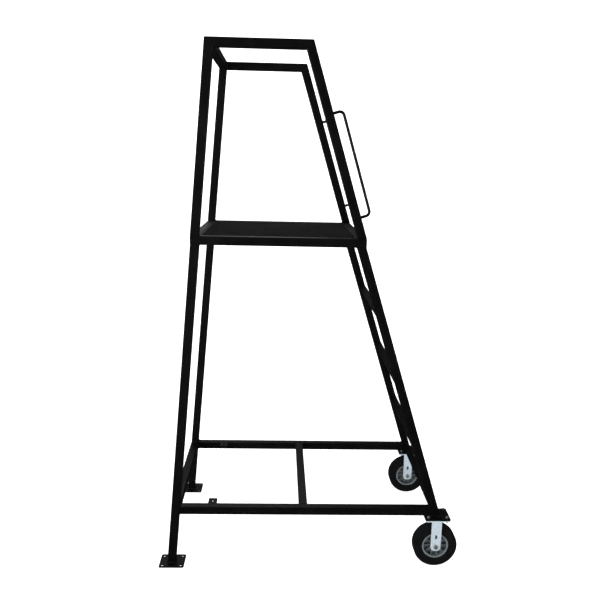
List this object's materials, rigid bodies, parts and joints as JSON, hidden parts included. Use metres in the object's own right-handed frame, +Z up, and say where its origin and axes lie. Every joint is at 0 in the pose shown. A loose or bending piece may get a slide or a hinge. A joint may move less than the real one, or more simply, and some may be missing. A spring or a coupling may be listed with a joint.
{
  "type": "mobile ladder stand",
  "caption": "Black welded square-tube work platform with a slanted ladder of flat treads, hand rails, grab handles and two rigid casters.",
  "frame": {"origin": "on the floor, under the middle of the whole object", "axes": "+X towards the ladder and the casters, +Y to the right-hand side as a climber faces the ladder, +Z up"},
  "size_m": [1.3796, 0.8256, 2.3195],
  "materials": {
    "black_powder_coat": "satin black powder coat on welded steel",
    "anti_slip_grit": "black abrasive anti-slip coating",
    "zinc_plate": "bright zinc plate on pressed steel",
    "bolt_zinc": "zinc plated fasteners",
    "bearing_steel": "oiled bearing steel",
    "hub_grey": "moulded grey nylon",
    "tyre_rubber": "dark solid rubber"
  },
  "bodies": {
    "frame": {"rear_leg_left": "black_powder_coat", "ladder_stile_left": "black_powder_coat", "base_side_rail_left": "black_powder_coat", "foot_plate_left": "black_powder_coat", "base_tab_left": "black_powder_coat", "platform_side_rail_left": "black_powder_coat", "rear_post_left": "black_powder_coat", "front_post_left": "black_powder_coat", "top_rail_left": "black_powder_coat", "grab_handle_left": "black_powder_coat", "caster_mount_plate_left": "black_powder_coat", "caster_top_plate_left": "zinc_plate", "caster_fork_left": "zinc_plate", "caster_mount_bolts_left": "bolt_zinc", "caster_mount_nuts_left": "bolt_zinc", "axle_bolt_left": "bolt_zinc", "axle_nut_left": "bolt_zinc", "axle_sleeve_left": "bearing_steel", "rear_leg_right": "black_powder_coat", "ladder_stile_right": "black_powder_coat", "base_side_rail_right": "black_powder_coat", "foot_plate_right": "black_powder_coat", "base_tab_right": "black_powder_coat", "platform_side_rail_right": "black_powder_coat", "rear_post_right": "black_powder_coat", "front_post_right": "black_powder_coat", "top_rail_right": "black_powder_coat", "grab_handle_right": "black_powder_coat", "caster_mount_plate_right": "black_powder_coat", "caster_top_plate_right": "zinc_plate", "caster_fork_right": "zinc_plate", "caster_mount_bolts_right": "bolt_zinc", "caster_mount_nuts_right": "bolt_zinc", "axle_bolt_right": "bolt_zinc", "axle_nut_right": "bolt_zinc", "axle_sleeve_right": "bearing_steel", "base_rear_crossbar": "black_powder_coat", "base_middle_crossbar": "black_powder_coat", "tread_1": "black_powder_coat", "tread_2": "black_powder_coat", "tread_3": "black_powder_coat", "tread_4": "black_powder_coat", "platform_rear_rail": "black_powder_coat", "platform_front_rail": "black_powder_coat", "deck_brace_rear": "black_powder_coat", "deck_brace_front": "black_powder_coat", "deck_plate": "black_powder_coat", "top_rear_crossbar": "black_powder_coat", "deck_grip_surface": "anti_slip_grit"},
    "wheel_left": {"wheel_bearing_left": "bearing_steel", "wheel_hub_left": "hub_grey", "wheel_tyre_left": "tyre_rubber"},
    "wheel_right": {"wheel_bearing_right": "bearing_steel", "wheel_hub_right": "hub_grey", "wheel_tyre_right": "tyre_rubber"}
  },
  "joints": [
    {"name": "wheel_left_spin", "type": "hinge", "parent": "frame", "child": "wheel_left", "pos_m": [0.58819, -0.36195, 0.1016], "axis": [0, 1, 0], "continuous": true},
    {"name": "wheel_right_spin", "type": "hinge", "parent": "frame", "child": "wheel_right", "pos_m": [0.58819, 0.36195, 0.1016], "axis": [0, 1, 0], "continuous": true}
  ]
}
